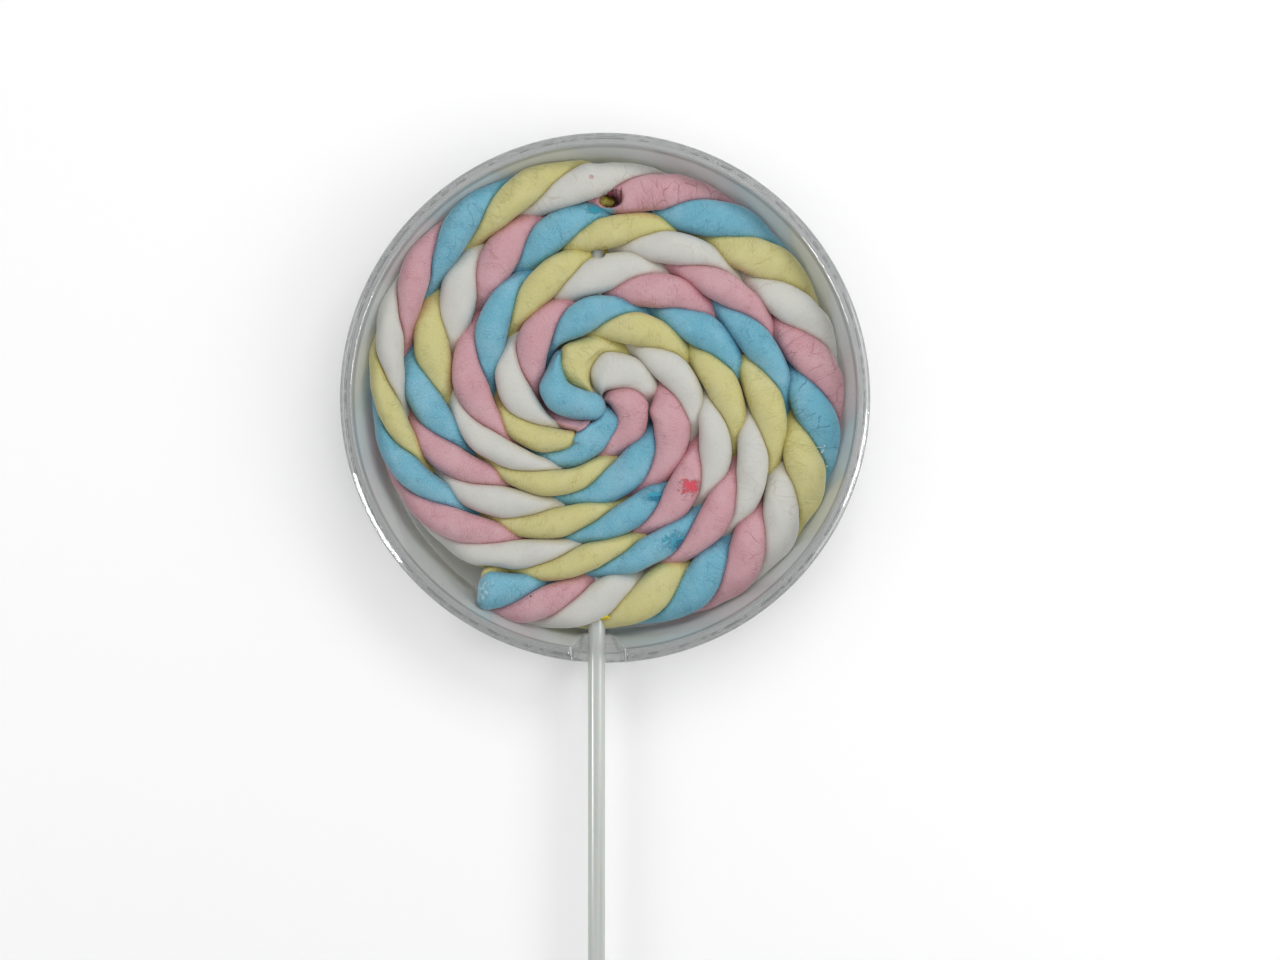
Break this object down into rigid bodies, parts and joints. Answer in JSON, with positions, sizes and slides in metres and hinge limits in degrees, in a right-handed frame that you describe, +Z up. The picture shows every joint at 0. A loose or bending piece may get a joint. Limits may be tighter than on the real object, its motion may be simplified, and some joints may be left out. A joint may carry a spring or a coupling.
{
  "type": "marshmallow lollipop",
  "caption": "Flat spiral marshmallow lollipop of twisted pastel strands on a hollow plastic stick, lying in its round clear tray.",
  "frame": {"origin": "middle of the underside of the tray's floor, on the surface that the tray stands on", "axes": "+Z up out of the tray, -Y along the stick away from the coil, +X to the right seen from above with the stick towards the viewer"},
  "size_m": [0.1326, 0.2364, 0.0215],
  "materials": {
    "clear_tray": "clear formed plastic sheet, glossy, lightly scuffed",
    "stick_plastic": "cloudy white plastic tube, satin",
    "marshmallow_blue": "soft matte marshmallow, pale blue, finely wrinkled and dusted",
    "marshmallow_pink": "soft matte marshmallow, rose pink, finely wrinkled and dusted",
    "marshmallow_white": "soft matte marshmallow, white, smooth and dusted",
    "marshmallow_yellow": "soft matte marshmallow, pale yellow, finely wrinkled and dusted"
  },
  "bodies": {
    "root": {"tray": "clear_tray", "stick": "stick_plastic", "strand_blue": "marshmallow_blue", "strand_pink": "marshmallow_pink", "strand_white": "marshmallow_white", "strand_yellow": "marshmallow_yellow"}
  },
  "joints": []
}
